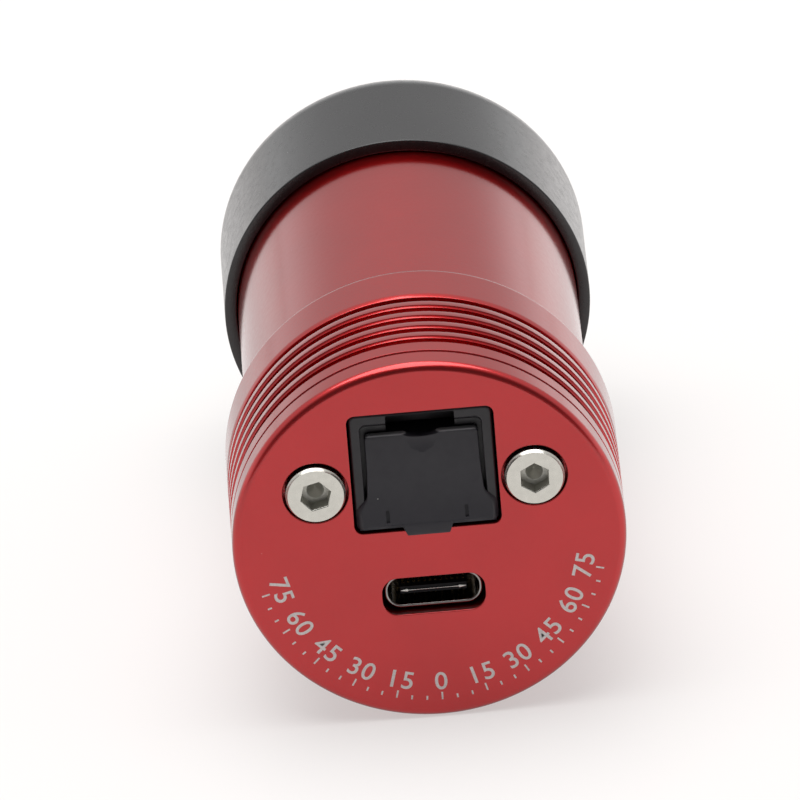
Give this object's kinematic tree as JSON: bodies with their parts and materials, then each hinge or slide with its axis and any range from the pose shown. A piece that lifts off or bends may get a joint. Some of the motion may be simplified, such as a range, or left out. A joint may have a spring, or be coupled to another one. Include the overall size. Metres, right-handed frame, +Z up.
{
  "type": "astronomy camera",
  "caption": "Compact round camera with a ribbed red body, a slip-in nosepiece under a black dust cap, and a rear cover with a plugged guide port and a data socket.",
  "frame": {"origin": "middle of the camera's length on the surface it lies on, straight below the optical axis", "axes": "+Y along the optical axis from the rear face to the nosepiece, +Z up, +X to the right seen from behind"},
  "size_m": [0.0358, 0.0666, 0.0359],
  "materials": {
    "red_anodised": "fine bead-blasted and red anodised, satin",
    "black_plastic": "moulded, black",
    "plug_rubber": "soft moulded rubber, near black",
    "cap_plastic": "soft moulded plastic, black, satin sheen",
    "screw_steel": "turned stainless steel",
    "shell_steel": "nickel-plated sheet",
    "brass": "turned brass",
    "gold_contact": "gold-plated spring wire",
    "circuit_board": "green solder mask",
    "chip_black": "moulded chip package",
    "ceramic_grey": "fired ceramic, matte",
    "polyimide": "amber film",
    "silicon": "polished die",
    "clear_glass": "coated flat glass",
    "gasket_rubber": "flat gasket",
    "black_anodised": "black anodised, matte"
  },
  "bodies": {
    "camera": {"clock_crystal": "shell_steel", "cover_screw_left": "screw_steel", "cover_screw_right": "screw_steel", "flex_cable": "polyimide", "frame_memory": "chip_black", "guide_jack": "black_plastic", "housing": "red_anodised", "jack_contact_1": "gold_contact", "jack_contact_2": "gold_contact", "jack_contact_3": "gold_contact", "jack_contact_4": "gold_contact", "jack_contact_5": "gold_contact", "jack_contact_6": "gold_contact", "main_board": "circuit_board", "main_flex_socket": "black_plastic", "power_inductor": "ceramic_grey", "protective_window": "clear_glass", "rear_cover": "red_anodised", "sensor_board": "circuit_board", "sensor_die": "silicon", "sensor_flex_socket": "black_plastic", "sensor_glass": "clear_glass", "sensor_package": "ceramic_grey", "sensor_screw_1": "screw_steel", "sensor_screw_2": "screw_steel", "sensor_screw_3": "screw_steel", "sensor_spacer_1": "brass", "sensor_spacer_2": "brass", "sensor_spacer_3": "brass", "standoff_left": "brass", "standoff_right": "brass", "usb_controller": "chip_black", "usb_ground_frame": "shell_steel", "usb_insulator": "black_plastic", "usb_shell": "shell_steel", "voltage_regulator": "chip_black", "window_gasket": "gasket_rubber", "window_ring": "black_anodised"},
    "cap": {"dust_cap": "cap_plastic"},
    "plug": {"guide_plug": "plug_rubber"}
  },
  "joints": [
    {"name": "cap_pull", "type": "slide", "parent": "camera", "child": "cap", "axis": [0, 1, 0], "range_m": [0, 0.02]},
    {"name": "plug_pull", "type": "slide", "parent": "camera", "child": "plug", "axis": [0, -1, 0], "range_m": [0, 0.012]}
  ]
}
